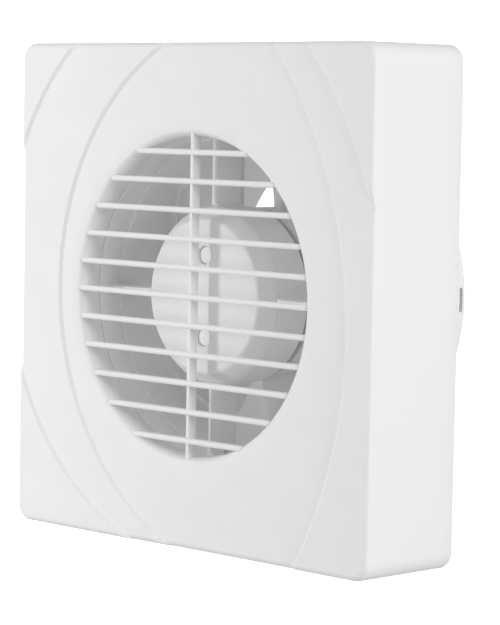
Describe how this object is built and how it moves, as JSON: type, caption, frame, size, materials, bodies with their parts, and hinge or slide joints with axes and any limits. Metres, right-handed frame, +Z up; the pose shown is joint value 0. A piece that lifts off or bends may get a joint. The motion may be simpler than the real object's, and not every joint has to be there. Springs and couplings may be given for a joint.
{
  "type": "bathroom extractor fan",
  "caption": "Square wall-mounted axial extractor fan with a stepped white cover, a round louvred inlet, a central motor and a round duct spigot at the back.",
  "frame": {"origin": "where the fan's axis meets the wall, on the plane of the housing plate's back face", "axes": "+Y along the fan's axis into the wall, the way the air leaves; +Z up; +X to the right for someone facing the cover"},
  "size_m": [0.152, 0.07, 0.152],
  "materials": {
    "white_plastic": "satin white moulded ABS",
    "grey_plastic": "matt grey polyamide",
    "black_plastic": "matt black PVC",
    "black_rubber": "moulded rubber",
    "grey_foam": "closed-cell foam",
    "electrical_steel": "varnished laminations",
    "enamelled_copper": "enamelled copper wire",
    "sintered_bronze": "oil-filled sintered bronze",
    "zinc_steel": "bright zinc-plated steel"
  },
  "bodies": {
    "cover": {"front_cover": "white_plastic"},
    "rotor": {"impeller": "white_plastic", "rotor_core": "electrical_steel", "motor_shaft": "zinc_steel", "impeller_nut": "zinc_steel", "impeller_washer": "zinc_steel", "thrust_washer_front": "sintered_bronze", "thrust_washer_rear": "sintered_bronze"},
    "housing": {"rear_housing": "white_plastic", "motor_carrier": "white_plastic", "motor_cap": "white_plastic", "cap_screw_upper": "zinc_steel", "cap_screw_lower": "zinc_steel", "cap_plug_upper": "white_plastic", "cap_plug_lower": "white_plastic", "stator_core": "electrical_steel", "stator_coil_1": "enamelled_copper", "stator_coil_2": "enamelled_copper", "stator_coil_3": "enamelled_copper", "stator_coil_4": "enamelled_copper", "motor_bridge": "zinc_steel", "bridge_spacer_left": "zinc_steel", "bridge_spacer_right": "zinc_steel", "motor_screw_left": "zinc_steel", "motor_screw_right": "zinc_steel", "front_bearing": "sintered_bronze", "rear_bearing": "sintered_bronze", "thermal_cutout": "black_plastic", "terminal_block": "grey_plastic", "terminal_screw_live": "zinc_steel", "terminal_screw_neutral": "zinc_steel", "terminal_lid": "white_plastic", "terminal_lid_screw": "zinc_steel", "cable_clamp": "white_plastic", "clamp_screw_1": "zinc_steel", "clamp_screw_2": "zinc_steel", "cable_grommet": "black_rubber", "motor_lead": "white_plastic", "wall_gasket": "grey_foam"}
  },
  "joints": [
    {"name": "impeller_spin", "type": "hinge", "parent": "housing", "child": "rotor", "pos_m": [0, 0, 0], "axis": [0, 1, 0], "continuous": true},
    {"name": "cover_pull", "type": "slide", "parent": "housing", "child": "cover", "axis": [0, -1, 0], "range_m": [0, 0.05]}
  ]
}
